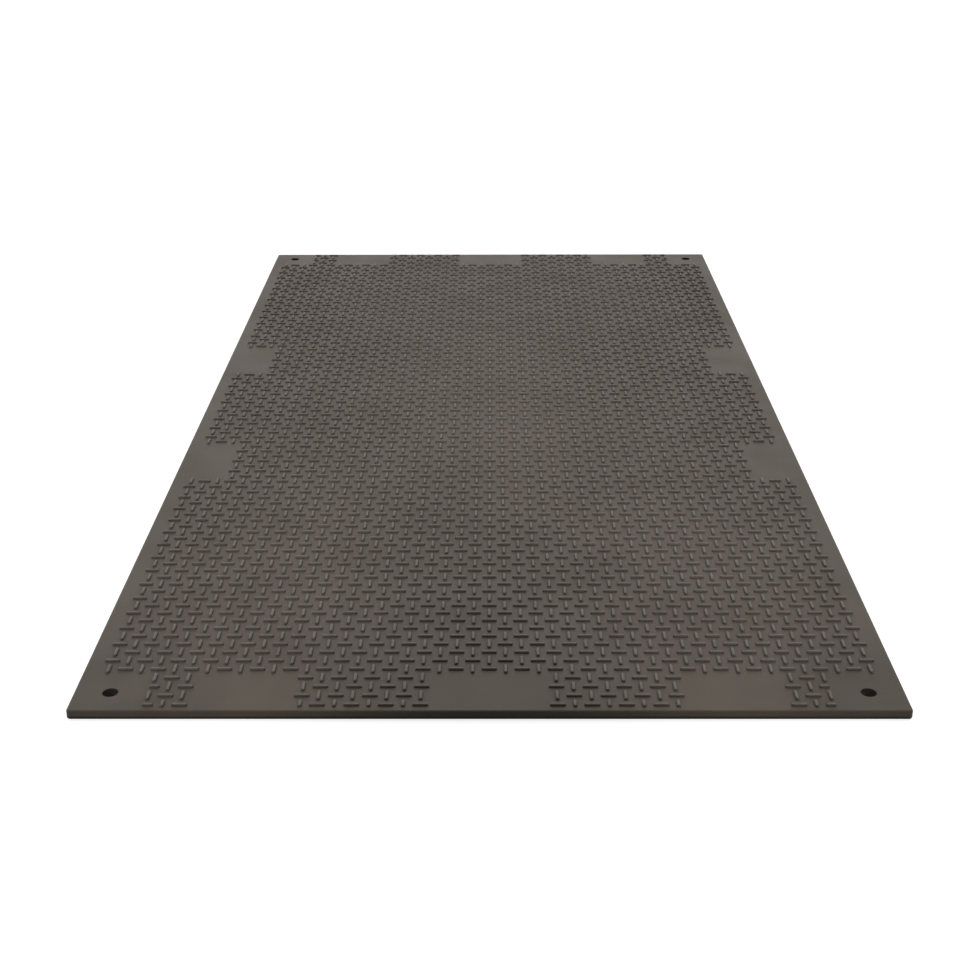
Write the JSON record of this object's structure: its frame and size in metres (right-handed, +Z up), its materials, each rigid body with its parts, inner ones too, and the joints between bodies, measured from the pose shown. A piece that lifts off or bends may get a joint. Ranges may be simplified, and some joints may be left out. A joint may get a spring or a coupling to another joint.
{
  "type": "ground protection mat",
  "caption": "Moulded polyethylene ground protection sheet with a raised tread and a tie hole in each corner, for laying a temporary track over turf.",
  "frame": {"origin": "centre of the mat's underside, on the ground", "axes": "+Z up out of the treaded face, +Y along the mat's length away from the near end in the picture, +X across its width to the right"},
  "size_m": [1.22, 2.44, 0.015],
  "materials": {
    "polyethylene": "matte moulded surface"
  },
  "bodies": {
    "root": {"mat": "polyethylene"}
  },
  "joints": []
}
